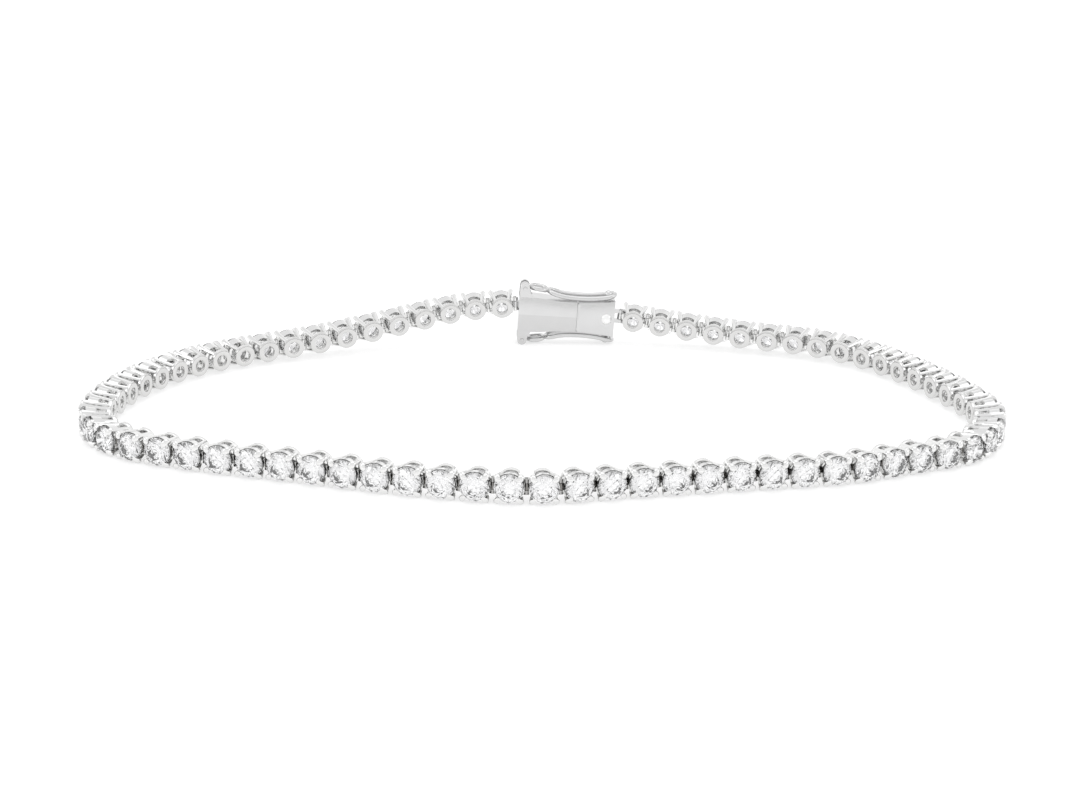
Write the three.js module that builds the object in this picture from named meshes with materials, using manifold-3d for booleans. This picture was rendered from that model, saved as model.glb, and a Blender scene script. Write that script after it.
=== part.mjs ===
// A tennis bracelet lying on its side: a closed chain of small stone settings, joined by a box clasp
// with a safety catch on each narrow side. Millimetres, +Z up, resting on z = 0.
// The stones face outwards, the clasp is at the back (+Y), and its inner face looks towards -Y.

import * as THREE from 'three';
import { mergeVertices } from 'three/addons/utils/BufferGeometryUtils.js';
import Module from 'manifold-3d';

const manifold = await Module();
manifold.setup();

// ---- Driving dimensions ----------------------------------------------------------------------

const LINKS = 70;             // settings in the chain, about 2.39 mm apart
const CHAIN_HALF_HEIGHT = 1.12;
const CHAIN_OUT = 1.03;       // from the line of the link pins out to the stones' tables
const CHAIN_IN = 1.42;        // and in to the settings' inner faces
const RIM_CHAMFER = 0.22;     // at the outer edges, where the prong tips round over
const INNER_HALF_HEIGHT = 0.78;   // the settings narrow towards the wrist

const CLASP_THICKNESS = 2.1;
const CLASP_HALF_LENGTH = 4.2;
const WAIST_HALF_HEIGHT = 1.32;
const SHOULDER_HALF_HEIGHT = 1.55;    // beside the ears
const TONGUE_END_HALF_HEIGHT = 1.6;
const WALL = 0.4;
const BOX_MOUTH_X = 0.8;      // the box's open end; the tongue's end piece starts after the seam
const SEAM = 0.3;

const HINGE_X = -3.75;        // the catch pins, measured from the clasp's middle
const HINGE_Z = 2.33;
const EAR_RADIUS = 0.42;
const EAR_GAP = 1.0;          // between the two ears of a pair
const EYE_SLOT_Z = 1.8;      // how deep the gap between the ears reaches
const PIN_RADIUS = 0.18;
const EYE_RADIUS = 0.38;
const EYE_BORE_RADIUS = 0.26;
const EYE_WIDTH = 0.8;

const STUD_X = 3.6;
const STUD_Z = 2.0;
const STUD_RADIUS = 0.38;
const STUD_POST_RADIUS = 0.17;

const CATCH_WIRE = 0.45;
const CATCH_NECK_WIDTH = 0.7;
const SMALL_LOOP = { from: -2.62, to: -2.42, outer: 0.85, hole: 0.42 };
const LARGE_LOOP = { from: -1.0, to: 3.5, outer: 0.9, hole: 0.52 };

const LEAF = 0.3;             // one leaf of the folded spring tongue
const LEAF_GAP = 0.35;
const LEAF_WIDTH = 1.7;
const TONGUE_TIP_X = -2.9;
const FREE_LEAF_END_X = 0.7;

// Where the clasp's middle lies, and how it is turned: its ears are taller than its studs, so it
// stands on one pair of ears and one stud, tilted by the difference.
const CLASP_PLACE = new THREE.Vector3(1.47, 19.9, 0);
const CLASP_YAW = THREE.MathUtils.degToRad(2.6);
const CLASP_TILT = Math.atan((HINGE_Z + EAR_RADIUS - STUD_Z - STUD_RADIUS) / (STUD_X - HINGE_X));

// The chain's route along the line of its link pins, from the clasp's box round to its tongue. At both
// ends it rises to the clasp, and meets the box above its middle.
const LYING = CHAIN_HALF_HEIGHT;
const ROUTE = [
  { x: -3, y: 19.5, z: 3.6 },
  { x: -8, y: 19, z: 3.2 },
  { x: -14, y: 17, z: 2.2 },
  { x: -20, y: 14.5, z: 1.4 },
  { x: -25, y: 12, z: LYING },
  { x: -30, y: 7.5, z: LYING },
  { x: -33, y: 2.5, z: LYING },
  { x: -34.5, y: -3, z: LYING },
  { x: -34.5, y: -8, z: LYING },
  { x: -32, y: -12, z: LYING },
  { x: -27, y: -14.5, z: LYING },
  { x: -18, y: -17, z: LYING },
  { x: -9, y: -19.5, z: LYING },
  { x: -0.5, y: -20.5, z: LYING },
  { x: 5.5, y: -19, z: LYING },
  { x: 14, y: -17, z: LYING },
  { x: 22, y: -15, z: LYING },
  { x: 27, y: -12.5, z: LYING },
  { x: 31, y: -10.5, z: LYING },
  { x: 33.5, y: -7, z: LYING },
  { x: 34.5, y: -2.5, z: LYING },
  { x: 33.5, y: 2, z: LYING },
  { x: 31, y: 8, z: LYING },
  { x: 28, y: 13, z: LYING },
  { x: 23.5, y: 16.5, z: 1.3 },
  { x: 17, y: 18.5, z: 1.4 },
  { x: 11, y: 19.5, z: 1.9 },
  { x: 6.25, y: 20, z: 2.5 },
];

// ---- Materials -------------------------------------------------------------------------------

const brightMetal = () =>
  new THREE.MeshStandardMaterial({ color: 0xdcdcde, roughness: 0.12, metalness: 1.0 });
const stoneAndMetal = () =>
  new THREE.MeshStandardMaterial({ color: 0xe9eaec, roughness: 0.1, metalness: 0.6 });

// ---- Helpers ---------------------------------------------------------------------------------

function solidOf(geometry) {
  geometry.deleteAttribute('normal');
  geometry.deleteAttribute('uv');
  const merged = mergeVertices(geometry, 1e-5);
  return new manifold.Manifold(new manifold.Mesh({
    numProp: 3,
    vertProperties: new Float32Array(merged.attributes.position.array),
    triVerts: new Uint32Array(merged.index.array),
  }));
}

function meshOf(name, solid, material) {
  const { numProp, vertProperties, triVerts } = solid.getMesh();
  const geometry = new THREE.BufferGeometry();
  geometry.setAttribute('position', new THREE.BufferAttribute(vertProperties, numProp));
  geometry.setIndex(new THREE.BufferAttribute(triVerts, 1));
  geometry.computeVertexNormals();
  const mesh = new THREE.Mesh(geometry, material);
  mesh.name = name;
  return mesh;
}

// A side view drawn in X and Z, extruded by its width across Y about y = 0.
function sideways(shape, width, curveSegments = 10) {
  const geometry = new THREE.ExtrudeGeometry(shape, { depth: width, bevelEnabled: false, curveSegments });
  geometry.rotateX(Math.PI / 2);
  geometry.translate(0, width / 2, 0);
  return solidOf(geometry);
}

function block(lowX, highX, widthY, lowZ, highZ) {
  const geometry = new THREE.BoxGeometry(highX - lowX, widthY, highZ - lowZ);
  geometry.translate((lowX + highX) / 2, 0, (lowZ + highZ) / 2);
  return solidOf(geometry);
}

// A round bar across the clasp, along Y.
function crossBar(radius, width, x, z, sides = 16) {
  const geometry = new THREE.CylinderGeometry(radius, radius, width, sides);
  geometry.translate(x, 0, z);
  return solidOf(geometry);
}

// ---- The chain -------------------------------------------------------------------------------

// The settings only turn on upright pins, so the chain never rolls about its own line, and the
// surface under it keeps it from sagging lower than it lies.
class ChainRoute extends THREE.CatmullRomCurve3 {
  getPoint(t, target) {
    const point = super.getPoint(t, target);
    point.z = Math.max(point.z, LYING);
    return point;
  }

  computeFrenetFrames(segments) {
    const up = new THREE.Vector3(0, 0, 1);
    const tangents = [];
    const normals = [];
    const binormals = [];
    for (let i = 0; i <= segments; i++) {
      const along = this.getTangentAt(i / segments);
      const outward = new THREE.Vector3().crossVectors(along, up).normalize();
      tangents.push(along);
      normals.push(outward);
      binormals.push(new THREE.Vector3().crossVectors(along, outward));
    }
    return { tangents, normals, binormals };
  }
}

// The clasp's frame is needed twice: its ends cut the chain to length, and its pieces are placed in it.
function claspFrame() {
  const frame = new THREE.Group();
  frame.rotation.set(0, CLASP_TILT, CLASP_YAW, 'ZYX');
  frame.position.copy(CLASP_PLACE);
  frame.position.z = EAR_RADIUS + HINGE_Z * Math.cos(CLASP_TILT) + HINGE_X * Math.sin(CLASP_TILT);
  frame.updateMatrix();
  return frame;
}

function settingChain() {
  const route = new ChainRoute(ROUTE.map(({ x, y, z }) => new THREE.Vector3(x, y, z)));
  const section = new THREE.Shape();
  section.moveTo(CHAIN_OUT, -CHAIN_HALF_HEIGHT + RIM_CHAMFER);
  section.lineTo(CHAIN_OUT, CHAIN_HALF_HEIGHT - RIM_CHAMFER);
  section.lineTo(CHAIN_OUT - RIM_CHAMFER, CHAIN_HALF_HEIGHT);
  section.lineTo(0, CHAIN_HALF_HEIGHT);
  section.lineTo(-CHAIN_IN, INNER_HALF_HEIGHT);
  section.lineTo(-CHAIN_IN, -INNER_HALF_HEIGHT);
  section.lineTo(0, -CHAIN_HALF_HEIGHT);
  section.lineTo(CHAIN_OUT - RIM_CHAMFER, -CHAIN_HALF_HEIGHT);
  section.closePath();
  const tube = new THREE.ExtrudeGeometry(section, { steps: LINKS, bevelEnabled: false, extrudePath: route });
  const reach = CLASP_HALF_LENGTH + SEAM;
  const roomForClasp = block(-reach, reach, 4 * CHAIN_IN, -4 * CHAIN_HALF_HEIGHT, 4 * CHAIN_HALF_HEIGHT);
  return solidOf(tube).subtract(roomForClasp.transform(claspFrame().matrix.elements));
}

// ---- The clasp -------------------------------------------------------------------------------

// The box seen from the wrist: an ear at each corner of its closed end, then a concave waist.
function boxOutline() {
  const earInner = HINGE_X + EAR_RADIUS;
  const shoulderX = earInner + 0.6;
  const shape = new THREE.Shape();
  shape.moveTo(-CLASP_HALF_LENGTH, -HINGE_Z);
  shape.lineTo(-CLASP_HALF_LENGTH, HINGE_Z);
  shape.absarc(HINGE_X, HINGE_Z, EAR_RADIUS, Math.PI, 0, true);
  shape.quadraticCurveTo(earInner, SHOULDER_HALF_HEIGHT, shoulderX, SHOULDER_HALF_HEIGHT);
  shape.quadraticCurveTo(shoulderX + 1.2, WAIST_HALF_HEIGHT, BOX_MOUTH_X, WAIST_HALF_HEIGHT);
  shape.lineTo(BOX_MOUTH_X, -WAIST_HALF_HEIGHT);
  shape.quadraticCurveTo(shoulderX + 1.2, -WAIST_HALF_HEIGHT, shoulderX, -SHOULDER_HALF_HEIGHT);
  shape.quadraticCurveTo(earInner, -SHOULDER_HALF_HEIGHT, earInner, -HINGE_Z);
  shape.absarc(HINGE_X, -HINGE_Z, EAR_RADIUS, 0, Math.PI, true);
  return shape;
}

function tongueEndOutline() {
  const startX = BOX_MOUTH_X + SEAM;
  const shape = new THREE.Shape();
  shape.moveTo(startX, -WAIST_HALF_HEIGHT);
  shape.lineTo(startX, WAIST_HALF_HEIGHT);
  shape.quadraticCurveTo(STUD_X - 1, WAIST_HALF_HEIGHT, CLASP_HALF_LENGTH, TONGUE_END_HALF_HEIGHT);
  shape.lineTo(CLASP_HALF_LENGTH, -TONGUE_END_HALF_HEIGHT);
  shape.quadraticCurveTo(STUD_X - 1, -WAIST_HALF_HEIGHT, startX, -WAIST_HALF_HEIGHT);
  return shape;
}

function claspBox() {
  const cavityWidth = CLASP_THICKNESS - 2 * WALL;
  const cavityHalfHeight = WAIST_HALF_HEIGHT - WALL;
  const cavityStart = -CLASP_HALF_LENGTH + 2 * WALL;
  let box = sideways(boxOutline(), CLASP_THICKNESS)
    .subtract(block(cavityStart, BOX_MOUTH_X + SEAM, cavityWidth, -cavityHalfHeight, cavityHalfHeight));
  for (const side of [1, -1]) {
    const slotEnds = [side * EYE_SLOT_Z, side * (HINGE_Z + 2 * EAR_RADIUS)].sort((a, b) => a - b);
    const slotReach = 2 * EAR_RADIUS;
    box = box.subtract(block(HINGE_X - slotReach, HINGE_X + slotReach, EAR_GAP, ...slotEnds));
    box = box.add(crossBar(PIN_RADIUS, CLASP_THICKNESS - WALL, HINGE_X, side * HINGE_Z));
  }
  return box;
}

function claspTongue() {
  const foldHalf = LEAF_GAP / 2 + LEAF;
  const halfWidth = LEAF_WIDTH / 2;
  const startX = BOX_MOUTH_X + SEAM;
  const strip = block(TONGUE_TIP_X, startX, 2 * foldHalf, -halfWidth, halfWidth);
  const fold = block(TONGUE_TIP_X + LEAF, startX, LEAF_GAP, -CLASP_THICKNESS, CLASP_THICKNESS);
  const leafEnd = block(FREE_LEAF_END_X, startX, 2 * LEAF, -CLASP_THICKNESS, CLASP_THICKNESS)
    .translate([0, LEAF_GAP / 2 + LEAF, 0]);
  let tongue = sideways(tongueEndOutline(), CLASP_THICKNESS).add(strip.subtract(fold).subtract(leafEnd));
  for (const side of [1, -1]) {
    const ball = new THREE.SphereGeometry(STUD_RADIUS, 14, 10);
    ball.rotateX(Math.PI / 2);
    ball.translate(STUD_X, 0, side * STUD_Z);
    const post = new THREE.CylinderGeometry(STUD_POST_RADIUS, STUD_POST_RADIUS, STUD_Z - 1, 10);
    post.rotateX(Math.PI / 2);
    post.translate(STUD_X, 0, side * (STUD_Z + 1) / 2);
    tongue = tongue.add(solidOf(ball)).add(solidOf(post));
  }
  return tongue;
}

// ---- The safety catches ----------------------------------------------------------------------

// The catch's side view: its wire's middle line, bent to follow the clasp's waist.
const CATCH_LINE = [
  { x: -3.75, z: 2.33 },
  { x: -3.1, z: 2.34 },
  { x: -2.2, z: 2.24 },
  { x: -1.3, z: 1.99 },
  { x: -0.4, z: 1.76 },
  { x: 0.6, z: 1.67 },
  { x: 2.0, z: 1.68 },
  { x: 3.3, z: 1.84 },
  { x: 4.5, z: 2.12 },
];

function catchSideView() {
  const line = new THREE.SplineCurve(CATCH_LINE.map(({ x, z }) => new THREE.Vector2(x, z)));
  const steps = 20;
  const over = [];
  const under = [];
  for (let i = 0; i <= steps; i++) {
    const point = line.getPointAt(i / steps);
    const along = line.getTangentAt(i / steps);
    const aside = new THREE.Vector2(-along.y, along.x).multiplyScalar(CATCH_WIRE / 2);
    over.push(point.clone().add(aside));
    under.unshift(point.clone().sub(aside));
  }
  return new THREE.Shape([...over, ...under]);
}

// A loop with straight sides and round ends, seen along Z, and the hole in it.
function loopPlan({ from, to, outer, hole }) {
  const plan = new THREE.Shape();
  plan.absarc(to, 0, outer, -Math.PI / 2, Math.PI / 2, false);
  plan.absarc(from, 0, outer, Math.PI / 2, 3 * Math.PI / 2, false);
  const opening = new THREE.Path();
  opening.absarc(to, 0, hole, -Math.PI / 2, Math.PI / 2, false);
  opening.absarc(from, 0, hole, Math.PI / 2, 3 * Math.PI / 2, false);
  plan.holes.push(opening);
  const tall = 2 * HINGE_Z;
  const settings = { depth: tall, bevelEnabled: false, curveSegments: 8 };
  return solidOf(new THREE.ExtrudeGeometry(plan, settings));
}

function safetyCatch() {
  const neck = block(HINGE_X, SMALL_LOOP.from - SMALL_LOOP.hole, CATCH_NECK_WIDTH, 0, 2 * HINGE_Z);
  const figureEight = loopPlan(SMALL_LOOP).add(loopPlan(LARGE_LOOP)).add(neck);
  const wire = sideways(catchSideView(), CLASP_THICKNESS).intersect(figureEight);
  return wire
    .add(crossBar(EYE_RADIUS, EYE_WIDTH, HINGE_X, HINGE_Z))
    .subtract(crossBar(EYE_BORE_RADIUS, 2 * EYE_WIDTH, HINGE_X, HINGE_Z));
}

// ---- Assembly --------------------------------------------------------------------------------

const bracelet = new THREE.Group();
bracelet.add(meshOf('setting_chain', settingChain(), stoneAndMetal()));

const clasp = claspFrame();
clasp.add(meshOf('clasp_box', claspBox(), brightMetal()));
clasp.add(meshOf('clasp_tongue', claspTongue(), brightMetal()));
const upperCatch = safetyCatch();
const lowerCatch = upperCatch.mirror([0, 0, 1]);
clasp.add(meshOf('safety_catch_upper', upperCatch, brightMetal()));
clasp.add(meshOf('safety_catch_lower', lowerCatch, brightMetal()));

bracelet.add(clasp);

export default bracelet;
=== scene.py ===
# %% [markdown]
# # A tennis bracelet
#
# A line bracelet lies on its side on a white table: seventy small round stones, each in its own
# four-prong basket, pinned to one another and closed by a box clasp with two wire safety catches.
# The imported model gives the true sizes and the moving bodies. This lesson builds the fine metalwork
# round it: one setting is made by hand and copied along the chain, and the clasp is made piece by piece.

from math import atan2, cos, pi, radians, sin

import bmesh
import bpy
from mathutils import Matrix, Vector


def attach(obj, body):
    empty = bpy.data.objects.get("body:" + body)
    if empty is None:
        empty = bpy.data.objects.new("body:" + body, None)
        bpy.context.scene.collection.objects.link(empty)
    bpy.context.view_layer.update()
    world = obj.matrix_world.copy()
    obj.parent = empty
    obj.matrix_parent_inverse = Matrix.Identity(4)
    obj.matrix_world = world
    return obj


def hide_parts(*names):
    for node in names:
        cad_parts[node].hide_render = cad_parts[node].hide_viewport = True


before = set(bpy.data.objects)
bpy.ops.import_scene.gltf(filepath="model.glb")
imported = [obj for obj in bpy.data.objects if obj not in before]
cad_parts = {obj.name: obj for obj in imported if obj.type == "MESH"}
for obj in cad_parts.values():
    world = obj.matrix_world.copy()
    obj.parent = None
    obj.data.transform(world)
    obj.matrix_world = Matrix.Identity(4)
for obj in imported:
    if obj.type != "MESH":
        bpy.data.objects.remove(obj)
bpy.ops.object.select_all(action="DESELECT")
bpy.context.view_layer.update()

# %% [markdown]
# ## The workbench
#
# The pieces are only millimetres across. They could be modelled straight in metres, but Blender's
# bevels and merges work with more certainty on sizes near one. So every piece is made at the origin
# in millimetres, and is scaled to metres in its own mesh when it is put in its place.

# %% Helpers for the workbench
MM = 0.001
CREASE_ANGLE = radians(38)
TO_METRES = Matrix.Scale(MM, 4)


def select_only(piece):
    bpy.ops.object.select_all(action="DESELECT")
    bpy.context.view_layer.objects.active = piece
    piece.select_set(True)


def edit_mode(piece):
    select_only(piece)
    bpy.ops.object.mode_set(mode="EDIT")


def object_mode():
    bpy.ops.object.mode_set(mode="OBJECT")


def face_outwards():
    """In edit mode, turns every face of the piece outwards."""
    bpy.ops.mesh.select_all(action="SELECT")
    bpy.ops.mesh.normals_make_consistent(inside=False)


def merge_points(distance):
    """In edit mode, merges points that lie closer than distance, and turns the faces outwards."""
    bpy.ops.mesh.select_all(action="SELECT")
    bpy.ops.mesh.remove_doubles(threshold=distance)
    face_outwards()


def pick_faces(piece, wanted):
    """In edit mode, selects the faces for which wanted(face) is true, and nothing else."""
    bpy.ops.mesh.select_mode(type="FACE")
    bpy.ops.mesh.select_all(action="DESELECT")
    mesh = bmesh.from_edit_mesh(piece.data)
    for face in mesh.faces:
        face.select_set(bool(wanted(face)))
    bmesh.update_edit_mesh(piece.data)


def start_piece(name):
    piece = bpy.context.object
    piece.name = name
    piece.data.name = name
    bpy.ops.object.transform_apply(location=True, rotation=True, scale=True)
    return piece


def apply_modifier(piece, kind, **settings):
    select_only(piece)
    modifier = piece.modifiers.new(kind.title(), kind)
    for key, value in settings.items():
        setattr(modifier, key, value)
    bpy.ops.object.modifier_apply(modifier=modifier.name)


def unite(piece, *others):
    """Joins overlapping solids into one skin, as solder does, and uses the others up."""
    for other in others:
        apply_modifier(piece, "BOOLEAN", object=other, operation="UNION", solver="EXACT")
        bpy.data.objects.remove(other)
    return piece


def cut(piece, tool):
    apply_modifier(piece, "BOOLEAN", object=tool, operation="DIFFERENCE", solver="EXACT")
    bpy.data.objects.remove(tool)
    return piece


def soften(piece, width, segments=2, angle=35):
    """Breaks every sharp edge, as polishing does, and shades the rest smooth."""
    apply_modifier(
        piece, "BEVEL", width=width, segments=segments, limit_method="ANGLE",
        angle_limit=radians(angle), harden_normals=False,
    )
    edit_mode(piece)
    merge_points(0.002)
    object_mode()
    bpy.ops.object.shade_smooth_by_angle(angle=radians(40))
    return piece


def paint(piece, material):
    piece.data.materials.clear()
    piece.data.materials.append(material)


def report(piece):
    triangles = sum(len(face.vertices) - 2 for face in piece.data.polygons)
    size = [round(side, 2) for side in piece.dimensions]
    print(f"{piece.name}: {triangles} triangles, {size}")


# %% [markdown]
# ## Camera
#
# The bracelet is seen from the front and a little above, with the clasp at the back. A long lens on a
# full-frame sensor keeps the loop's two ends natural.

# %% Camera
CAMERA_PLACE = Vector((-0.00065, -0.15984, 0.05185))
CAMERA_PITCH = 17.8
CAMERA_ROLL = 1.1
FOCAL_LENGTH = 70.7

camera_data = bpy.data.cameras.new("camera")
camera = bpy.data.objects.new("camera", camera_data)
bpy.context.scene.collection.objects.link(camera)
camera.location = CAMERA_PLACE
camera.rotation_euler = (radians(90 - CAMERA_PITCH), 0, 0)
camera.rotation_euler.rotate_axis("Z", radians(CAMERA_ROLL))
camera_data.lens = FOCAL_LENGTH
camera_data.sensor_width = 36
camera_data.clip_start = 0.005
camera_data.clip_end = 20
bpy.context.scene.camera = camera
print("the camera looks down by", CAMERA_PITCH, "degrees")

# %% [markdown]
# ## The metal
#
# White gold under rhodium is nearly colourless and mirror-bright. One flat mirror would look like
# plastic, so the roughness wanders a little, and very fine polishing lines and wear break the
# reflections. The pattern could be painted, but noise on the piece's own coordinates needs no image.
# In the hinges, seams and hollows, and on the side towards the wrist, shade is painted into the metal's
# colour. How much is written on the faces of each mesh, as an attribute that the material reads.

# %% Metal
# The dark colour that painted shade mixes the metal towards.
PAINTED_SHADE_COLOUR = (0.09, 0.08, 0.07)


def metal(name, colour, roughness, wander, line_depth):
    material = bpy.data.materials.new(name)
    material.use_nodes = True
    nodes = material.node_tree.nodes
    links = material.node_tree.links
    shader = nodes["Principled BSDF"]
    shader.inputs["Metallic"].default_value = 1.0
    place = nodes.new("ShaderNodeTexCoord")

    cloud = nodes.new("ShaderNodeTexNoise")
    cloud.inputs["Scale"].default_value = 900
    cloud.inputs["Detail"].default_value = 4
    links.new(place.outputs["Object"], cloud.inputs["Vector"])
    gloss = nodes.new("ShaderNodeMapRange")
    gloss.inputs["To Min"].default_value = roughness - wander
    gloss.inputs["To Max"].default_value = roughness + wander
    links.new(cloud.outputs["Fac"], gloss.inputs["Value"])
    links.new(gloss.outputs["Result"], shader.inputs["Roughness"])

    tint = nodes.new("ShaderNodeMixRGB")
    tint.inputs["Color1"].default_value = (*colour, 1)
    tint.inputs["Color2"].default_value = (*[channel * 0.93 for channel in colour], 1)
    links.new(cloud.outputs["Fac"], tint.inputs["Fac"])
    # The shade attribute mixes painted shade into the metal's colour.
    painted_shade_amount = nodes.new("ShaderNodeAttribute")
    painted_shade_amount.attribute_name = "shade"
    painted_shade_mix = nodes.new("ShaderNodeMixRGB")
    painted_shade_mix.inputs["Color2"].default_value = (*PAINTED_SHADE_COLOUR, 1)
    links.new(painted_shade_amount.outputs["Fac"], painted_shade_mix.inputs["Fac"])
    links.new(tint.outputs["Color"], painted_shade_mix.inputs["Color1"])
    links.new(painted_shade_mix.outputs["Color"], shader.inputs["Base Color"])

    lines = nodes.new("ShaderNodeTexNoise")
    lines.inputs["Scale"].default_value = 5000
    lines.inputs["Detail"].default_value = 3
    stretch = nodes.new("ShaderNodeMapping")
    stretch.inputs["Scale"].default_value = (0.15, 1.0, 1.0)
    links.new(place.outputs["Object"], stretch.inputs["Vector"])
    links.new(stretch.outputs["Vector"], lines.inputs["Vector"])
    bump = nodes.new("ShaderNodeBump")
    bump.inputs["Strength"].default_value = 0.25
    bump.inputs["Distance"].default_value = line_depth
    links.new(lines.outputs["Fac"], bump.inputs["Height"])
    links.new(bump.outputs["Normal"], shader.inputs["Normal"])
    return material


def shade(piece, amount):
    """Writes on each face of a piece how much painted shade it gets, from 0 to 1: amount(the face's
    centre).
    """
    layer = piece.data.attributes.new("shade", "FLOAT", "FACE")
    for face, mark in zip(piece.data.polygons, layer.data):
        mark.value = amount(face.center)


def ease(value):
    value = min(max(value, 0), 1)
    return value * value * (3 - 2 * value)


polished_metal = metal("rhodium_polish", (0.83, 0.83, 0.825), 0.12, 0.04, 0.000002)
# The clasp's rhodium is a darker copy of the chain's: painted shade, since the clasp reflects the bright
# table.
clasp_metal = metal("rhodium_clasp_shaded", (0.68, 0.68, 0.68), 0.20, 0.05, 0.000004)
wire_metal = metal("rhodium_wire", (0.66, 0.66, 0.66), 0.14, 0.04, 0.000002)
# The rivet's rhodium is a much lighter copy of the clasp's: a painted highlight on its dome.
rivet_highlight_metal = metal("rhodium_rivet_highlight", (0.93, 0.93, 0.925), 0.34, 0.05, 0.000002)
print("metals:", polished_metal.name, clasp_metal.name, wire_metal.name, rivet_highlight_metal.name)

# %% [markdown]
# ## The stone's finish
#
# A colourless brilliant works by refraction: its high index throws light back out of the crown.
# Glass with that index does the same, with true facets. A trace of noise in the roughness stands for
# the film of skin oil that every worn stone has.

# %% Stone material
STONE_INDEX = 2.42

stone_glass = bpy.data.materials.new("brilliant")
stone_glass.use_nodes = True
stone_nodes = stone_glass.node_tree.nodes
stone_links = stone_glass.node_tree.links
stone_shader = stone_nodes["Principled BSDF"]
stone_shader.inputs["Base Color"].default_value = (0.985, 0.985, 0.99, 1)
stone_shader.inputs["Transmission Weight"].default_value = 1.0
stone_shader.inputs["IOR"].default_value = STONE_INDEX
stone_place = stone_nodes.new("ShaderNodeTexCoord")
film = stone_nodes.new("ShaderNodeTexNoise")
film.inputs["Scale"].default_value = 1200
stone_links.new(stone_place.outputs["Object"], film.inputs["Vector"])
film_gloss = stone_nodes.new("ShaderNodeMapRange")
film_gloss.inputs["To Min"].default_value = 0.0
film_gloss.inputs["To Max"].default_value = 0.05
stone_links.new(film.outputs["Fac"], film_gloss.inputs["Value"])
stone_links.new(film_gloss.outputs["Result"], stone_shader.inputs["Roughness"])
print("stone index", STONE_INDEX)

# %% [markdown]
# ## One setting
#
# Each link is a basket: a round base plate against the wrist with a round hole behind the stone, a
# seat ring under the stone, and four prongs that rise from the plate, pass the seat and claw over the
# stone's edge. It could be one subdivided cage, but a jeweller solders it from these few parts, and
# joining plain solids gives the same crisp creases. It is modelled with the chain along X, the
# bracelet's height along Y and the stone's face towards +Z, around the line of the link pins.

# %% The setting's sizes
LINKS = 70
LYING = 1.12
BASE_LOW = -1.42
BASE_THICKNESS = 0.36
BASE_RADIUS = 0.92
CULET_HOLE = 0.46
SEAT_OUTER = 1.09
SEAT_INNER = 0.82
SEAT_LOW = -0.30
SEAT_HIGH = 0.46
SEAT_FOOT = 0.86
PIN_LEVEL = -0.12
PIN_RADIUS = 0.13


def make_ring(name, sides, outer, inner, low, high, foot=1.0):
    """A round ring about Z: a cylinder whose two ends are inset and bridged. foot scales its lower end."""
    bpy.ops.mesh.primitive_cylinder_add(
        vertices=sides, radius=outer, depth=high - low, location=(0, 0, (low + high) / 2)
    )
    ring = start_piece(name)
    edit_mode(ring)
    pick_faces(ring, lambda face: abs(face.normal.z) > 0.9)
    bpy.ops.mesh.inset(thickness=outer - inner, use_even_offset=False)
    bpy.ops.mesh.bridge_edge_loops()
    if foot != 1.0:
        bpy.ops.mesh.select_mode(type="VERT")
        bpy.ops.mesh.select_all(action="DESELECT")
        mesh = bmesh.from_edit_mesh(ring.data)
        for corner in mesh.verts:
            corner.select_set(corner.co.z < (low + high) / 2)
        bmesh.update_edit_mesh(ring.data)
        bpy.ops.transform.resize(value=(foot, foot, 1), center_override=(0, 0, 0))
    object_mode()
    return ring


def make_block(name, low, high):
    """A cube stretched between two corners, as the start of a filed part."""
    low = Vector(low)
    high = Vector(high)
    bpy.ops.mesh.primitive_cube_add(size=1, location=(low + high) / 2, scale=high - low)
    return start_piece(name)


def make_rod(name, sides, radius, start, end):
    """A round rod between two points."""
    start = Vector(start)
    end = Vector(end)
    turn = (end - start).to_track_quat("Z", "Y").to_euler()
    bpy.ops.mesh.primitive_cylinder_add(
        vertices=sides, radius=radius, depth=(end - start).length, location=(start + end) / 2, rotation=turn
    )
    return start_piece(name)


base_plate = make_ring("base_plate", 20, BASE_RADIUS, CULET_HOLE, BASE_LOW, BASE_LOW + BASE_THICKNESS)
soften(base_plate, 0.08, segments=2)
seat_ring = make_ring("seat_ring", 20, SEAT_OUTER, SEAT_INNER, SEAT_LOW, SEAT_HIGH, foot=SEAT_FOOT)
report(base_plate)
report(seat_ring)

# %% [markdown]
# ## Prongs
#
# A prong is a tapered wire. It could be a bent curve, but a round end extruded step by step shows how
# it leans outwards past the seat and then closes over the stone. One prong is made and mirrored to the
# four corners.

# %% Prongs
PRONG_FOOT = {"to": (0.57, 0.57, -1.25), "radius": 0.17}
PRONG_STEPS = [
    {"to": (0.65, 0.66, -0.60), "radius": 0.19},
    {"to": (0.76, 0.76, 0.05), "radius": 0.20},
    {"to": (0.85, 0.86, 0.50), "radius": 0.22},
    {"to": (0.86, 0.88, 0.70), "radius": 0.24},
    {"to": (0.80, 0.82, 0.87), "radius": 0.24},
    {"to": (0.72, 0.74, 0.97), "radius": 0.19},
    {"to": (0.68, 0.70, 1.01), "radius": 0.09},
]

bpy.ops.mesh.primitive_circle_add(
    vertices=9, radius=PRONG_FOOT["radius"], fill_type="NGON", location=PRONG_FOOT["to"]
)
prongs = start_piece("prongs")
edit_mode(prongs)
bpy.ops.mesh.select_all(action="SELECT")
here = Vector(PRONG_FOOT["to"])
radius = PRONG_FOOT["radius"]
for step in PRONG_STEPS:
    there = Vector(step["to"])
    bpy.ops.mesh.extrude_region_move(TRANSFORM_OT_translate={"value": there - here})
    scale = step["radius"] / radius
    bpy.ops.transform.resize(value=(scale, scale, 1), center_override=there)
    here = there
    radius = step["radius"]
face_outwards()
object_mode()
apply_modifier(prongs, "MIRROR", use_axis=(True, True, False), use_mirror_merge=False)
edit_mode(prongs)
face_outwards()
object_mode()
report(prongs)

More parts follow.
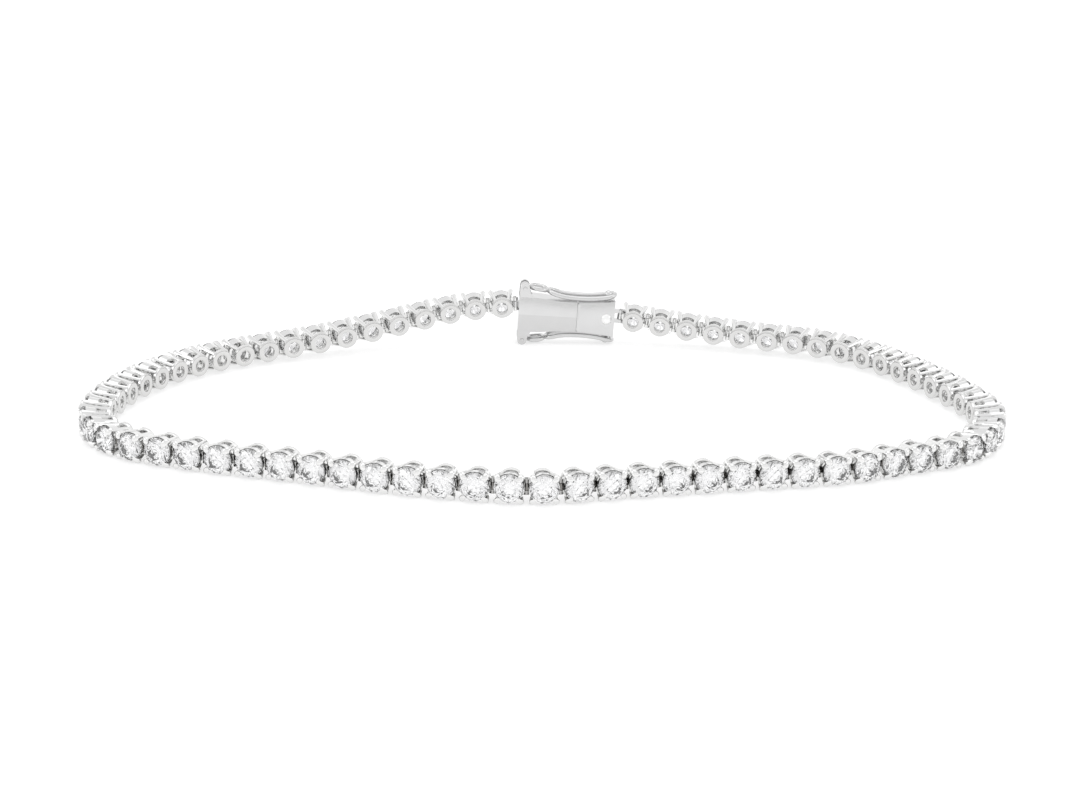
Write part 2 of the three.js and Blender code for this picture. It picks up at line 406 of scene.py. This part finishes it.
# %% [markdown]
# ## Knuckles
#
# The hinge between two links is three small eyes on one pin: a single eye on one link between a pair
# on the next. An eye is a ring turned on its side, with a short arm that runs back into the seat ring.

# %% Knuckles
EYE_OUTER = 0.27
EYE_GAP = 0.04
BORE_MARGIN = 0.03
ARM_BELOW = 0.19
ARM_ABOVE = 0.21
SINGLE_HALF = 0.24
PAIR_REACH = 0.58
SEAT_REACH = 0.80
PAIR_SEAT_REACH = SEAT_REACH - 0.1
HALF_PITCH = 1.195


def arm_span(pin_x, arm_x):
    """The two ends in X of an arm that runs from just outside its pin's bore to arm_x, lower one first."""
    bore = PIN_RADIUS + BORE_MARGIN
    clear = pin_x + bore if arm_x > pin_x else pin_x - bore
    return sorted((clear, arm_x))


def make_knuckle(name, pin_x, low_y, high_y, arm_x):
    """An eye round a pin along Y at pin_x, and the arm from it to arm_x."""
    eye = make_ring(name, 12, EYE_OUTER, PIN_RADIUS, low_y, high_y)
    eye.data.transform(Matrix.Rotation(-pi / 2, 4, "X"))
    eye.data.transform(Matrix.Translation((pin_x, 0, PIN_LEVEL)))
    near, far = arm_span(pin_x, arm_x)
    arm_low = (near, low_y, PIN_LEVEL - ARM_BELOW)
    arm_high = (far, high_y, PIN_LEVEL + ARM_ABOVE)
    return unite(eye, make_block(name + "_arm", arm_low, arm_high))


pair_low = SINGLE_HALF + EYE_GAP
knuckles = [
    make_knuckle("single_knuckle", HALF_PITCH, -SINGLE_HALF, SINGLE_HALF, SEAT_REACH),
    make_knuckle("upper_knuckle", -HALF_PITCH, pair_low, PAIR_REACH, -PAIR_SEAT_REACH),
    make_knuckle("lower_knuckle", -HALF_PITCH, -PAIR_REACH, -pair_low, -PAIR_SEAT_REACH),
]
setting = unite(seat_ring, base_plate, prongs, *knuckles)
setting.name = "setting"
select_only(setting)
bpy.ops.object.shade_smooth_by_angle(angle=CREASE_ANGLE)


def hinge_shade(place):
    """Painted shade between two links, but not out beside the stone, and a little painted shade on the
    plate on the wrist side.
    """
    if place.z < BASE_LOW + 0.1:
        return 0.2
    between = ease((abs(place.x) - 0.98) / 0.1)
    off_the_wrist = ease((place.z + 0.12) / 0.2)
    under_the_stone = ease((0.56 - place.z) / 0.25)
    inside_the_claws = ease((0.56 - abs(place.y)) / 0.22)
    return 0.8 * between * off_the_wrist * under_the_stone * inside_the_claws


shade(setting, hinge_shade)
report(setting)

# %% [markdown]
# ## One stone
#
# A round brilliant is made the way a cutter makes it: a round blank is ground flat, facet by facet.
# Here each facet is one bisect that clears what lies outside its plane and fills the cut.

# %% Brilliant cut
STONE_RADIUS = 1.05
GIRDLE_LOW = 0.63
GIRDLE_HIGH = 0.68
TABLE_RADIUS = 0.58
CROWN_ANGLE = 34.5
STAR_ANGLE = 21.5
UPPER_HALF_ANGLE = 41.0
PAVILION_ANGLE = 40.8
LOWER_HALF_ANGLE = 42.2
crown_lean = radians(CROWN_ANGLE)
TABLE_HEIGHT = GIRDLE_HIGH + (STONE_RADIUS - TABLE_RADIUS) * sin(crown_lean) / cos(crown_lean)

bpy.ops.mesh.primitive_cylinder_add(vertices=32, radius=STONE_RADIUS, depth=2.4, location=(0, 0, 0.4))
stone = start_piece("stone")
edit_mode(stone)


def grind(azimuth, slope, radius, height, side=1):
    """Grinds one facet: its plane faces azimuth, slopes by slope, and passes radius out at height."""
    lean = radians(slope)
    turn = radians(azimuth)
    facing = Vector((sin(lean) * cos(turn), sin(lean) * sin(turn), side * cos(lean)))
    through = Vector((radius * cos(turn), radius * sin(turn), height))
    bpy.ops.mesh.select_all(action="SELECT")
    bpy.ops.mesh.bisect(plane_co=through, plane_no=facing, use_fill=True, clear_outer=True)


half_radius = STONE_RADIUS * cos(radians(11.25))
grind(0, 0, 0, TABLE_HEIGHT)
for turn in range(8):
    grind(45 * turn, CROWN_ANGLE, STONE_RADIUS, GIRDLE_HIGH)
    grind(45 * turn, PAVILION_ANGLE, STONE_RADIUS, GIRDLE_LOW, side=-1)
for turn in range(8):
    grind(45 * turn + 22.5, STAR_ANGLE, TABLE_RADIUS * cos(radians(22.5)), TABLE_HEIGHT)
for turn in range(16):
    grind(22.5 * turn + 11.25, UPPER_HALF_ANGLE, half_radius, GIRDLE_HIGH)
    grind(22.5 * turn + 11.25, LOWER_HALF_ANGLE, half_radius, GIRDLE_LOW, side=-1)
merge_points(0.0005)
object_mode()
report(stone)

# %% [markdown]
# ## The chain's line
#
# The chain lies in a loose loop and rises to the clasp at both ends. The same points that shape the
# packed chain are joined by the same smooth curve, and it is walked in equal steps, one for each link.

# %% Chain route
ROUTE = [
    (-3, 19.5, 3.6),
    (-8, 19, 3.2),
    (-14, 17, 2.2),
    (-20, 14.5, 1.4),
    (-25, 12, LYING),
    (-30, 7.5, LYING),
    (-33, 2.5, LYING),
    (-34.5, -3, LYING),
    (-34.5, -8, LYING),
    (-32, -12, LYING),
    (-27, -14.5, LYING),
    (-18, -17, LYING),
    (-9, -19.5, LYING),
    (-0.5, -20.5, LYING),
    (5.5, -19, LYING),
    (14, -17, LYING),
    (22, -15, LYING),
    (27, -12.5, LYING),
    (31, -10.5, LYING),
    (33.5, -7, LYING),
    (34.5, -2.5, LYING),
    (33.5, 2, LYING),
    (31, 8, LYING),
    (28, 13, LYING),
    (23.5, 16.5, 1.3),
    (17, 18.5, 1.4),
    (11, 19.5, 1.9),
    (6.25, 20, 2.5),
]


def smooth_line(points, steps):
    """A centripetal Catmull-Rom curve through the points, as a dense list of points."""
    points = [Vector(point) for point in points]
    spread = [2 * points[0] - points[1], *points, 2 * points[-1] - points[-2]]
    line = []
    for before, start, end, after in zip(spread, spread[1:], spread[2:], spread[3:]):
        first = (start - before).length ** 0.5
        middle = (end - start).length ** 0.5
        last = (after - end).length ** 0.5
        entering = (start - before) / first - (end - before) / (first + middle)
        leave = (entering + (end - start) / middle) * middle
        crossing = (end - start) / middle - (after - start) / (middle + last)
        arrive = (crossing + (after - end) / last) * middle
        for step in range(steps):
            t = step / steps
            square = (3 * (end - start) - 2 * leave - arrive) * t * t
            cube = (2 * (start - end) + leave + arrive) * t * t * t
            line.append(start + leave * t + square + cube)
    line.append(points[-1])
    return line


def walk(line, count):
    """count + 1 points at equal distances along a dense line, and the line's length."""
    reached = [0.0]
    for here, there in zip(line, line[1:]):
        reached.append(reached[-1] + (there - here).length)
    stops = []
    piece = 0
    for number in range(count + 1):
        wanted = reached[-1] * number / count
        while piece < len(line) - 2 and reached[piece + 1] < wanted:
            piece += 1
        part = (wanted - reached[piece]) / (reached[piece + 1] - reached[piece])
        stops.append(line[piece].lerp(line[piece + 1], part))
    return stops, reached[-1]


route_line = smooth_line(ROUTE, 60)
for point in route_line:
    point.z = max(point.z, LYING)
pin_points, route_length = walk(route_line, LINKS)
PITCH = route_length / LINKS
print(f"the chain is {route_length:.1f} mm long, and a link is {PITCH:.3f} mm")

# %% [markdown]
# ## Copies along the chain
#
# Every link is the same casting. An array along a curve would stretch the links on the bends, so each
# copy is a whole mesh, turned to its own stretch of the line, and then all of them are joined.

# %% Place the copies


def frame_at(before, after, middle):
    """The place of a link: X along the chain, Y upwards and Z out of the loop."""
    along = (after - before).normalized()
    outward = along.cross(Vector((0, 0, 1))).normalized()
    upward = outward.cross(along)
    place = Matrix((along, upward, outward)).transposed().to_4x4()
    place.translation = middle
    return place


def copy_along(model, name, places):
    copies = []
    for place in places:
        copy = model.copy()
        copy.data = model.data.copy()
        copy.data.transform(TO_METRES @ place)
        bpy.context.scene.collection.objects.link(copy)
        copies.append(copy)
    bpy.ops.object.select_all(action="DESELECT")
    for copy in copies:
        copy.select_set(True)
    bpy.context.view_layer.objects.active = copies[0]
    bpy.ops.object.join()
    joined = copies[0]
    joined.name = name
    joined.data.name = name
    bpy.data.objects.remove(model)
    report(joined)
    return joined


link_places = []
for number in range(LINKS):
    start = pin_points[number]
    end = pin_points[number + 1]
    link_places.append(frame_at(start, end, (start + end) / 2))

settings = copy_along(setting, "settings", link_places)
# Stones are set by hand, so each sits turned a little differently in its seat.
stone_places = []
for number, place in enumerate(link_places):
    stone_places.append(place @ Matrix.Rotation(radians(37 * number % 45), 4, "Z"))
stones = copy_along(stone, "stones", stone_places)

# %% [markdown]
# ## Link pins
#
# A pin runs through each knuckle joint, from the top of the bracelet to its underside. Its ends are
# peened over, so they are small domes.

# %% Link pins
PIN_HALF_LENGTH = 0.66
PIN_SLACK = 0.01
pin = make_rod("pin", 10, PIN_RADIUS - PIN_SLACK, (0, -PIN_HALF_LENGTH, 0), (0, PIN_HALF_LENGTH, 0))
soften(pin, 0.04, segments=1)
# Painted shade darkens the pins, which lie deep between the links.
shade(pin, lambda place: 0.35)
pin_places = []
for number in range(LINKS + 1):
    before = pin_points[max(number - 1, 0)]
    after = pin_points[min(number + 1, LINKS)]
    here = frame_at(before, after, pin_points[number])
    pin_places.append(here @ Matrix.Translation((0, 0, PIN_LEVEL)))
pins = copy_along(pin, "link_pins", pin_places)
paint(settings, polished_metal)
paint(pins, polished_metal)
paint(stones, stone_glass)

# %% [markdown]
# ## The clasp's own frame
#
# The clasp is easier to make square to the axes: X from its closed end to the tongue's end, Y through
# its thickness with -Y towards the wrist, and Z up its height. Afterwards each part goes to its place:
# turned to follow the loop, and tilted because it stands on one pair of ears and one stud.

# %% Clasp sizes and place
THICKNESS = 2.1
HALF_LENGTH = 4.2
WAIST = 1.32
SHOULDER = 1.55
TONGUE_END = 1.6
TAPER_START = -3.1
TAPER_LENGTH = 3.2
FLARE_POWER = 1.8
MOUTH_X = 0.90
END_PIECE_X = 1.02
HINGE_X = -3.75
HINGE_Z = 2.33
EAR_RADIUS = 0.42
STUD_X = 3.6
STUD_Z = 2.0
STUD_RADIUS = 0.38

CLASP_TILT = atan2(HINGE_Z + EAR_RADIUS - STUD_Z - STUD_RADIUS, STUD_X - HINGE_X)
CLASP_YAW = radians(2.6)
CLASP_HEIGHT = EAR_RADIUS + HINGE_Z * cos(CLASP_TILT) + HINGE_X * sin(CLASP_TILT)
CLASP_PLACE = (
    Matrix.Translation((1.47, 19.9, CLASP_HEIGHT))
    @ Matrix.Rotation(CLASP_YAW, 4, "Z")
    @ Matrix.Rotation(CLASP_TILT, 4, "Y")
)
to_clasp = CLASP_PLACE.inverted()
box_pin = to_clasp @ pin_points[0]
tongue_pin = to_clasp @ pin_points[-1]
print("the chain's end pins, from the clasp's middle:", box_pin, tongue_pin)


def finish_clasp_part(part, material, slot, body, *nodes):
    select_only(part)
    bpy.ops.object.shade_smooth_by_angle(angle=CREASE_ANGLE)
    part.data.transform(TO_METRES @ CLASP_PLACE)
    paint(part, material)
    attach(part, body)
    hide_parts(*nodes)
    report(part)


# %% [markdown]
# ## Curved outlines from columns
#
# Seen from the wrist the clasp narrows from its shoulders to a waist and flares again at the tongue's
# end. It could be drawn as an outline and extruded, but a block cut into columns, each scaled to the
# height of the clasp there, keeps even faces for the bevels.

# %% Column helpers


def pick_points(part, wanted):
    """In edit mode, selects the points for which wanted(position) is true, and nothing else."""
    bpy.ops.mesh.select_mode(type="VERT")
    bpy.ops.mesh.select_all(action="DESELECT")
    mesh = bmesh.from_edit_mesh(part.data)
    for point in mesh.verts:
        point.select_set(wanted(point.co))
    mesh.select_flush_mode()
    bmesh.update_edit_mesh(part.data)


def slice_at(part, through, facing):
    edit_mode(part)
    bpy.ops.mesh.select_all(action="SELECT")
    bpy.ops.mesh.bisect(plane_co=through, plane_no=facing)
    object_mode()


def slice_along(part, low, high, count):
    """Cuts a part into count slices along X."""
    for number in range(1, count):
        slice_at(part, (low + (high - low) * number / count, 0, 0), (1, 0, 0))


def shape_columns(part, half_height):
    """Scales every column of points in height, so that the outline follows half_height(x)."""
    edit_mode(part)
    for column in sorted({round(point.co.x, 3) for point in bmesh.from_edit_mesh(part.data).verts}):
        pick_points(part, lambda place: abs(place.x - column) < 0.002)
        bpy.ops.transform.resize(value=(1, 1, half_height(column)), center_override=(0, 0, 0))
    object_mode()


def box_half_height(x):
    return SHOULDER - (SHOULDER - WAIST) * ease((x - TAPER_START) / TAPER_LENGTH)


def tongue_half_height(x):
    rise = max(x - END_PIECE_X, 0) / (HALF_LENGTH - END_PIECE_X)
    return WAIST + (TONGUE_END - WAIST) * rise ** FLARE_POWER


def make_body(name, low_x, high_x, slices, half_height):
    """A block with the clasp's outline, whose wrist side is filed to a low ridge along its middle."""
    file_depth = 0.16
    ridge_level = 0.02
    body = make_block(name, (low_x, file_depth - THICKNESS / 2, -1), (high_x, THICKNESS / 2, 1))
    slice_along(body, low_x, high_x, slices)
    slice_at(body, (0, 0, ridge_level), (0, 0, 1))
    edit_mode(body)
    pick_points(body, lambda place: abs(place.z - ridge_level) < 0.01 and place.y < 0)
    bpy.ops.transform.translate(value=(0, -file_depth, 0))
    object_mode()
    shape_columns(body, half_height)
    return body


# %% [markdown]
# ## The clasp's box
#
# The box is a shell with a slot for the tongue. A pair of ears stands at each corner of its closed end
# and holds a catch's hinge pin. The walls could be bent from sheet, but a solid body with its slot cut
# out gives the same walls with fewer steps.

# %% Box body, slot and ears
WALL = 0.36
box_body = make_body("clasp_box_fine", -HALF_LENGTH, MOUTH_X, 14, box_half_height)
END_WALL = 0.8
slot_low = (-HALF_LENGTH + END_WALL, WALL - THICKNESS / 2, WALL - WAIST)
slot_high = (MOUTH_X + 1, THICKNESS / 2 - WALL, WAIST - WALL)
slot_tool = make_block("slot_tool", slot_low, slot_high)
cut(box_body, slot_tool)
EAR_THICKNESS = 0.34
EAR_INSET = 0.17
EAR_ROOT = 1.2
EAR_SPREAD = 0.62
ROOT_STEPS = 6


def make_ear(side, outside):
    """One ear: a round end, and a root that widens into the box's shoulder. outside is its outer Y."""
    inside = outside - EAR_THICKNESS if outside > 0 else outside + EAR_THICKNESS
    low, high = sorted((inside, outside))
    top = side * HINGE_Z
    ear = make_rod("ear", 20, EAR_RADIUS, (HINGE_X, low, top), (HINGE_X, high, top))
    root_low, root_high = sorted((side * EAR_ROOT, top))
    root_start = (-HALF_LENGTH + 0.02, low, root_low)
    root_end = (HINGE_X + EAR_RADIUS, high, root_high)
    root = make_block("ear_root", root_start, root_end)
    for step in range(1, ROOT_STEPS):
        slice_at(root, (0, 0, root_low + (root_high - root_low) * step / ROOT_STEPS), (0, 0, 1))
    edit_mode(root)
    for step in range(ROOT_STEPS):
        level = side * (EAR_ROOT + (HINGE_Z - EAR_ROOT) * step / ROOT_STEPS)
        pick_points(root, lambda place: place.x > HINGE_X and abs(place.z - level) < 0.02)
        bpy.ops.transform.translate(value=(EAR_SPREAD * (1 - step / ROOT_STEPS) ** 2, 0, 0))
    object_mode()
    return unite(ear, root)


ears = []
for side in (1, -1):
    for outside in (THICKNESS / 2 - EAR_INSET, EAR_INSET - THICKNESS / 2):
        ears.append(make_ear(side, outside))
unite(box_body, *ears)
report(box_body)

# %% [markdown]
# ## What joins the box to the chain
#
# The first link's pair of eyes holds a single eye on a short tab from the box's closed end.

# %% Box tab and hinge pins
PIN_DEPTH = -PIN_LEVEL
END_EYE_OUTER = EYE_OUTER + 0.06
TAB_HALF_WIDTH = 0.24
HINGE_PIN_RADIUS = 0.18
HINGE_PIN_INSET = 0.08
INSIDE_HALF_THICKNESS = 0.72
INSIDE_HALF_HEIGHT = 1.02


def make_end_eye(name, pin, arm_x, low_z, high_z):
    """An eye round an upright pin at an end of the clasp, with the tab that carries it."""
    middle = pin.y - PIN_DEPTH
    eye = make_ring(name, 16, END_EYE_OUTER, PIN_RADIUS, low_z, high_z)
    eye.data.transform(Matrix.Translation((pin.x, middle, pin.z)))
    near, far = arm_span(pin.x, arm_x)
    tab_low = (near, middle - TAB_HALF_WIDTH, pin.z + low_z)
    tab_high = (far, middle + TAB_HALF_WIDTH, pin.z + high_z)
    return unite(eye, make_block(name + "_tab", tab_low, tab_high))


box_eye = make_end_eye("box_eye", box_pin, -HALF_LENGTH + 0.2, -SINGLE_HALF, SINGLE_HALF)
unite(box_body, box_eye)
soften(box_body, 0.07, segments=2, angle=40)
for side in (1, -1):
    level = side * HINGE_Z
    reach = THICKNESS / 2 - HINGE_PIN_INSET
    pin_start = (HINGE_X, -reach, level)
    hinge_pin = make_rod("hinge_pin", 14, HINGE_PIN_RADIUS, pin_start, (HINGE_X, reach, level))
    soften(hinge_pin, 0.06)
    unite(box_body, hinge_pin)


def box_shade(place):
    """Painted shade: a little on the lower half of the wrist side, and much more inside the box's slot."""
    within = abs(place.y) < INSIDE_HALF_THICKNESS and abs(place.z) < INSIDE_HALF_HEIGHT
    if within and place.x > slot_low[0] - 0.05:
        return 0.6
    return 0.09 if place.y < -0.6 and place.z < 0.02 else 0.0


shade(box_body, box_shade)
finish_clasp_part(box_body, clasp_metal, "clasp_metal", "bracelet", "clasp_box")

# %% [markdown]
# ## The tongue
#
# The tongue's end piece closes the box's mouth and flares towards the chain. Behind it a strip is
# folded back on itself, and that fold is the spring which snaps behind the box's lip.

# %% Tongue end piece and spring
tongue = make_body("clasp_tongue_fine", END_PIECE_X, HALF_LENGTH, 10, tongue_half_height)
pair = []
for low_z, high_z in ((pair_low, PAIR_REACH), (-PAIR_REACH, -pair_low)):
    pair.append(make_end_eye("tongue_eye", tongue_pin, HALF_LENGTH - 0.2, low_z, high_z))
unite(tongue, *pair)
soften(tongue, 0.08, segments=2, angle=40)

LEAF = 0.28
LEAF_HALF_WIDTH = 0.82
LEAF_ROOT_X = 0.9
LEAF_TIP_X = 0.65
LEAF_SPLAY = 0.12
FOLD_X = -2.5
FOLD_RADIUS = 0.33
leaf_low = (LEAF_ROOT_X, -FOLD_RADIUS - LEAF / 2, -LEAF_HALF_WIDTH)
leaf_high = (LEAF_ROOT_X + 0.3, LEAF / 2 - FOLD_RADIUS, LEAF_HALF_WIDTH)
leaf = make_block("leaf", leaf_low, leaf_high)
edit_mode(leaf)
pick_faces(leaf, lambda face: face.normal.x < -0.9)
bpy.ops.mesh.extrude_region_move(TRANSFORM_OT_translate={"value": (FOLD_X - LEAF_ROOT_X, 0, 0)})
bpy.ops.mesh.spin(steps=8, angle=-pi, center=(FOLD_X, 0, 0), axis=(0, 0, 1))
bpy.ops.mesh.extrude_region_move(TRANSFORM_OT_translate={"value": (LEAF_TIP_X - FOLD_X, LEAF_SPLAY, 0)})
merge_points(0.001)
object_mode()
report(leaf)
soften(leaf, 0.05, segments=1)
PLUG_START = (0.55, -0.64, -0.94)
SEAM_GAP = 0.03
SEAM_DEPTH = 0.13
JOIN_X = END_PIECE_X + 0.1
plug = make_block("plug", PLUG_START, (JOIN_X, -PLUG_START[1], -PLUG_START[2]))
step_low = (MOUTH_X + SEAM_GAP, SEAM_DEPTH - THICKNESS / 2, SEAM_DEPTH - WAIST)
step = make_block("step", step_low, (JOIN_X, -step_low[1], -step_low[2]))
unite(tongue, leaf, plug, step)
# Painted shade on the part of the tongue that sits inside the box, behind the seam.
shade(tongue, lambda place: 0.3 if place.x < END_PIECE_X - 0.02 else 0.0)

# %% [markdown]
# ## Studs and rivet
#
# A small ball on a post at each side of the tongue is what the safety catches snap over. The ball is
# turned from the post's own wire, with a narrow neck. On the side of the wrist the tongue shows the
# low dome of a rivet.

# %% Studs and rivet
NECK_SHARE = 0.86
POST_STEPS = [
    {"drop": 0.04, "scale": 0.86},
    {"drop": 0.25, "scale": 1.0},
    {"drop": 0.12, "scale": 1.5},
    {"drop": 0.2, "scale": 1.1},
]


def make_stud(side):
    bpy.ops.mesh.primitive_uv_sphere_add(
        segments=20, ring_count=14, radius=STUD_RADIUS, location=(0, 0, STUD_Z)
    )
    stud = start_piece("stud")
    edit_mode(stud)
    bpy.ops.mesh.select_all(action="SELECT")
    neck = STUD_Z - NECK_SHARE * STUD_RADIUS
    bpy.ops.mesh.bisect(plane_co=(0, 0, neck), plane_no=(0, 0, -1), use_fill=True, clear_outer=True)
    pick_faces(stud, lambda face: face.normal.z < -0.99)
    here = neck
    for step in POST_STEPS:
        bpy.ops.mesh.extrude_region_move(TRANSFORM_OT_translate={"value": (0, 0, -step["drop"])})
        here -= step["drop"]
        bpy.ops.transform.resize(value=(step["scale"], step["scale"], 1), center_override=(0, 0, here))
    object_mode()
    stud.data.transform(Matrix.Scale(side, 4, (0, 0, 1)))
    stud.data.transform(Matrix.Translation((STUD_X, 0, 0)))
    edit_mode(stud)
    face_outwards()
    object_mode()
    return stud


for side in (1, -1):
    unite(tongue, make_stud(side))
finish_clasp_part(tongue, clasp_metal, "clasp_metal", "bracelet", "clasp_tongue")

RIVET_X = 3.5
RIVET_SINK = 0.12
RIVET_RADIUS = 0.48
RIVET_FLATNESS = 0.62
RIVET_PLACE = Vector((RIVET_X, RIVET_SINK - THICKNESS / 2, 0))
bpy.ops.mesh.primitive_uv_sphere_add(segments=28, ring_count=16, radius=RIVET_RADIUS, location=RIVET_PLACE)
rivet = start_piece("rivet")
edit_mode(rivet)
bpy.ops.mesh.select_all(action="SELECT")
bpy.ops.transform.resize(value=(1, RIVET_FLATNESS, 1), center_override=RIVET_PLACE)
object_mode()
finish_clasp_part(rivet, rivet_highlight_metal, "clasp_metal", "bracelet", "clasp_tongue")

# %% [markdown]
# ## Safety catches
#
# Each catch is one round wire bent into a figure of eight: a small loop near the hinge, and a large
# loop whose end springs over the stud. A wire follows a line, so a curve with a round bevel is its
# natural start, and it is made a mesh before its eye is soldered on. Its side view dips into the waist.

# %% Catch wires
CATCH_LINE = [
    (-3.75, 0, 2.33),
    (-3.1, 0, 2.34),
    (-2.2, 0, 2.24),
    (-1.3, 0, 1.99),
    (-0.4, 0, 1.76),
    (0.6, 0, 1.67),
    (2.0, 0, 1.68),
    (3.3, 0, 1.84),
    (4.5, 0, 2.12),
]
WIRE_RADIUS = 0.2
NECK_RADIUS = WIRE_RADIUS + 0.04
NECK_STEPS = 6
NECK_OFFSET = 0.3
CATCH_EYE = {"outer": 0.39, "inner": 0.24, "half_width": 0.4}
SMALL_LOOP = {"from": -2.62, "to": -2.42, "radius": 0.62}
LARGE_LOOP = {"from": -1.0, "to": 3.5, "radius": 0.69}
catch_line = smooth_line(CATCH_LINE, 24)


def catch_height(x):
    for here, there in zip(catch_line, catch_line[1:]):
        if here.x <= x <= there.x:
            return here.z + (there.z - here.z) * (x - here.x) / (there.x - here.x)
    return catch_line[0].z if x < catch_line[0].x else catch_line[-1].z


def wire_along(name, plan, closed, radius):
    """A round wire over points of a plan (x, y), at the catch's height, as a mesh."""
    curve = bpy.data.curves.new(name, "CURVE")
    curve.dimensions = "3D"
    curve.bevel_depth = radius
    curve.bevel_resolution = 3
    curve.use_fill_caps = not closed
    spline = curve.splines.new("POLY")
    spline.points.add(len(plan) - 1)
    for point, (x, y) in zip(spline.points, plan):
        point.co = (x, y, catch_height(x), 1)
    spline.use_cyclic_u = closed
    wire = bpy.data.objects.new(name, curve)
    bpy.context.scene.collection.objects.link(wire)
    select_only(wire)
    bpy.ops.object.convert(target="MESH")
    return bpy.context.object


def loop_plan(loop):
    """A loop with straight sides and round ends."""
    plan = []
    arc_steps = 12
    span = loop["to"] - loop["from"]
    side_steps = max(1, round(span / 0.4))
    for step in range(arc_steps + 1):
        turn = -pi / 2 + pi * step / arc_steps
        plan.append((loop["to"] + loop["radius"] * cos(turn), loop["radius"] * sin(turn)))
    for step in range(1, side_steps):
        plan.append((loop["to"] - span * step / side_steps, loop["radius"]))
    for step in range(arc_steps + 1):
        turn = pi / 2 + pi * step / arc_steps
        plan.append((loop["from"] + loop["radius"] * cos(turn), loop["radius"] * sin(turn)))
    for step in range(1, side_steps):
        plan.append((loop["from"] + span * step / side_steps, -loop["radius"]))
    return plan


def make_catch(name, side, body, node):
    small = wire_along(name, loop_plan(SMALL_LOOP), True, WIRE_RADIUS)
    large = wire_along("large_loop", loop_plan(LARGE_LOOP), True, WIRE_RADIUS)
    neck_start = HINGE_X + NECK_OFFSET
    neck_end = SMALL_LOOP["from"] - SMALL_LOOP["radius"]
    neck_plan = []
    for step in range(NECK_STEPS + 1):
        neck_plan.append((neck_start + (neck_end - neck_start) * step / NECK_STEPS, 0))
    neck = wire_along("neck", neck_plan, False, NECK_RADIUS)
    half_width = CATCH_EYE["half_width"]
    eye = make_ring("eye", 24, CATCH_EYE["outer"], CATCH_EYE["inner"], -half_width, half_width)
    soften(eye, 0.05)
    eye.data.transform(Matrix.Rotation(pi / 2, 4, "X"))
    eye.data.transform(Matrix.Translation((HINGE_X, 0, HINGE_Z)))
    catch = unite(small, large, neck, eye)
    if side < 0:
        catch.data.transform(Matrix.Scale(-1, 4, (0, 0, 1)))
        edit_mode(catch)
        face_outwards()
        object_mode()
    finish_clasp_part(catch, wire_metal, "catch_wire", body, node)


make_catch("upper_catch_wire", 1, "upper_catch", "safety_catch_upper")
make_catch("lower_catch_wire", -1, "lower_catch", "safety_catch_lower")

# %% [markdown]
# ## Bodies
#
# The settings, their stones and their pins are one chain, which hangs on the clasp's body.

# %% Bodies
for piece, slot in ((settings, "settings"), (stones, "stones"), (pins, "settings")):
    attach(piece, "bracelet")
    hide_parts("setting_chain")

# %% [markdown]
# ## The table
#
# Polished metal shows best on a plain white table. A catalogue table is a milky sheet that is also lit
# from below, which takes away nearly all of the shadow, so this one both reflects and glows. It is far
# wider than the view, so its edge never shows.

# %% Table
bpy.ops.mesh.primitive_plane_add(size=6, location=(0, 0, 0))
table = bpy.context.object
table.name = "table"
table_paint = bpy.data.materials.new("table_white")
table_paint.use_nodes = True
table_shader = table_paint.node_tree.nodes["Principled BSDF"]
table_shader.inputs["Base Color"].default_value = (0.5, 0.5, 0.5, 1)
table_shader.inputs["Roughness"].default_value = 0.6
table_shader.inputs["Emission Color"].default_value = (1.0, 1.0, 1.0, 1)
table_shader.inputs["Emission Strength"].default_value = 0.58
table.data.materials.append(table_paint)

# %% [markdown]
# ## Light
#
# A wide soft box overhead and a white room give the bright, nearly shadowless light that jewellery is
# shown in. The room is greyer low down and a little at the ceiling, so the mirror-like metal has both light
# and dark to reflect.

# %% Light
world = bpy.data.worlds.new("white_room")
bpy.context.scene.world = world
world.use_nodes = True
world_nodes = world.node_tree.nodes
world_links = world.node_tree.links
sky = world_nodes["Background"]
sky.inputs["Strength"].default_value = 1.1
sky_place = world_nodes.new("ShaderNodeTexCoord")
sky_parts = world_nodes.new("ShaderNodeSeparateXYZ")
sky_ramp = world_nodes.new("ShaderNodeValToRGB")
sky_ramp.color_ramp.elements[0].position = 0.0
sky_ramp.color_ramp.elements[0].color = (0.60, 0.60, 0.61, 1)
sky_ramp.color_ramp.elements[1].position = 0.12
sky_ramp.color_ramp.elements[1].color = (1.0, 1.0, 1.0, 1)
wall_top = sky_ramp.color_ramp.elements.new(0.36)
wall_top.color = (1.0, 1.0, 1.0, 1)
ceiling = sky_ramp.color_ramp.elements.new(0.6)
ceiling.color = (0.85, 0.85, 0.855, 1)
world_links.new(sky_place.outputs["Generated"], sky_parts.inputs["Vector"])
world_links.new(sky_parts.outputs["Z"], sky_ramp.inputs["Fac"])
world_links.new(sky_ramp.outputs["Color"], sky.inputs["Color"])


def soft_box(name, place, size, power):
    lamp = bpy.data.lights.new(name, "AREA")
    lamp.shape = "SQUARE"
    lamp.size = size
    lamp.energy = power
    box = bpy.data.objects.new(name, lamp)
    box.location = place
    box.rotation_euler = (-Vector(place)).to_track_quat("-Z", "Y").to_euler()
    bpy.context.scene.collection.objects.link(box)


soft_box("overhead", (0.0, 0.05, 0.55), 0.5, 0.45)
soft_box("left", (-0.5, -0.15, 0.35), 0.25, 0.2)
soft_box("right", (0.5, -0.1, 0.3), 0.25, 0.15)
bpy.context.scene.view_settings.view_transform = "Standard"
